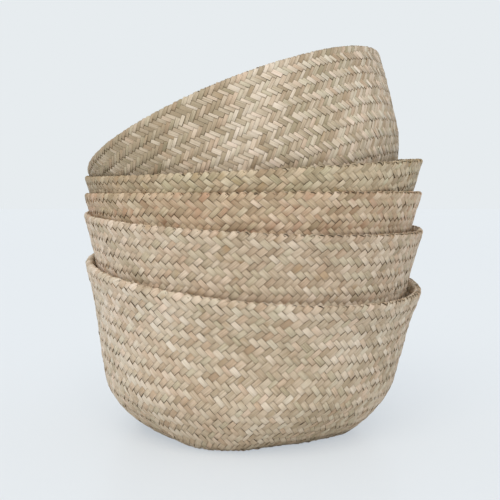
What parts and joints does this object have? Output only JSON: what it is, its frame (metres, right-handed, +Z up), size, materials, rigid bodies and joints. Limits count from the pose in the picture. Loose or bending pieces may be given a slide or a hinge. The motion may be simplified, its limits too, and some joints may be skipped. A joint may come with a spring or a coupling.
{
  "type": "belly basket set",
  "caption": "Nested set of woven belly baskets, each folded down into a soft double-walled bowl, the highest one set in at a slant.",
  "frame": {"origin": "Middle of the lowest basket's flat underside, on the surface it stands on.", "axes": "+Z is up, along the stack. +X is to the right as the picture sees it, and +Y points away from its camera."},
  "size_m": [0.3607, 0.3609, 0.3976],
  "materials": {
    "sedge_plait_1": "matte",
    "sedge_plait_2": "matte",
    "sedge_plait_3": "matte",
    "sedge_plait_4": "matte",
    "sedge_plait_5": "matte"
  },
  "bodies": {
    "basket_1": {"basket_1_base": "sedge_plait_1", "basket_1_bottom_edge": "sedge_plait_1", "basket_1_outer_wall": "sedge_plait_1", "basket_1_belly_fold": "sedge_plait_1", "basket_1_inner_wall": "sedge_plait_1", "basket_1_mouth_hem": "sedge_plait_1"},
    "basket_2": {"basket_2_base": "sedge_plait_2", "basket_2_bottom_edge": "sedge_plait_2", "basket_2_outer_wall": "sedge_plait_2", "basket_2_belly_fold": "sedge_plait_2", "basket_2_inner_wall": "sedge_plait_2", "basket_2_mouth_hem": "sedge_plait_2"},
    "basket_3": {"basket_3_base": "sedge_plait_3", "basket_3_bottom_edge": "sedge_plait_3", "basket_3_outer_wall": "sedge_plait_3", "basket_3_belly_fold": "sedge_plait_3", "basket_3_inner_wall": "sedge_plait_3", "basket_3_mouth_hem": "sedge_plait_3"},
    "basket_4": {"basket_4_base": "sedge_plait_4", "basket_4_bottom_edge": "sedge_plait_4", "basket_4_outer_wall": "sedge_plait_4", "basket_4_belly_fold": "sedge_plait_4", "basket_4_inner_wall": "sedge_plait_4", "basket_4_mouth_hem": "sedge_plait_4"},
    "basket_5": {"basket_5_base": "sedge_plait_5", "basket_5_bottom_edge": "sedge_plait_5", "basket_5_outer_wall": "sedge_plait_5", "basket_5_belly_fold": "sedge_plait_5", "basket_5_inner_wall": "sedge_plait_5"},
    "basket_5_mouth": {"basket_5_mouth_hem": "sedge_plait_5"}
  },
  "joints": [
    {"name": "basket_2_lift", "type": "slide", "parent": "basket_1", "child": "basket_2", "axis": [0, 0, 1], "range_m": [0, 0.18]},
    {"name": "basket_3_lift", "type": "slide", "parent": "basket_2", "child": "basket_3", "axis": [0, 0, 1], "range_m": [0, 0.18]},
    {"name": "basket_4_lift", "type": "slide", "parent": "basket_3", "child": "basket_4", "axis": [0, 0, 1], "range_m": [0, 0.18]},
    {"name": "basket_5_lift", "type": "slide", "parent": "basket_4", "child": "basket_5", "axis": [0, 0, 1], "range_m": [0, 0.18]},
    {"name": "basket_5_unfold", "type": "slide", "parent": "basket_5", "child": "basket_5_mouth", "axis": [-0.3716, 0.1207, 0.9205], "range_m": [0, 0.19], "deforming": ["basket_5_inner_wall"]}
  ]
}
